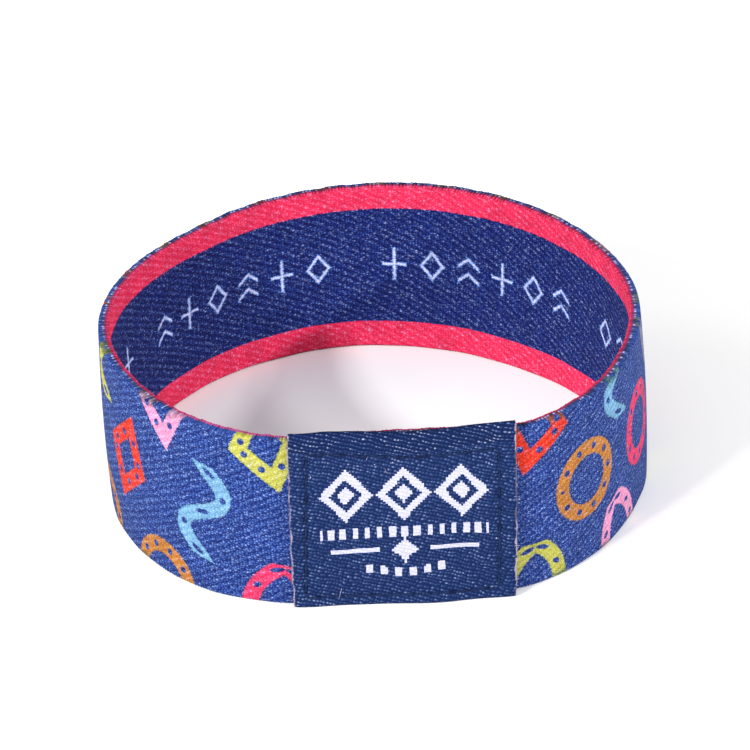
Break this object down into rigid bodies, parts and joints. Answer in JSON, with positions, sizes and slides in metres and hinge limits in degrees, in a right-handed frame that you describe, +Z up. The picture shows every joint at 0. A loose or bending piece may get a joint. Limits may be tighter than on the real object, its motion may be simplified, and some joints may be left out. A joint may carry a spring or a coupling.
{
  "type": "fabric wristband",
  "caption": "Flat woven elastic wristband closed into a loop, with a woven label sewn over its join, standing on its lower edge.",
  "frame": {"origin": "middle of the object seen from above, on the surface that its lower edge rests on", "axes": "+Z up along the loop's own axis, -Y to the front where the label is, +X to the right seen from the front"},
  "size_m": [0.0558, 0.0552, 0.0202],
  "materials": {
    "printed_elastic": "woven elastic, dye printed on both faces, matte",
    "damask_label": "woven damask with a slight sheen"
  },
  "bodies": {
    "root": {"elastic_band": "printed_elastic", "woven_label": "damask_label"}
  },
  "joints": []
}
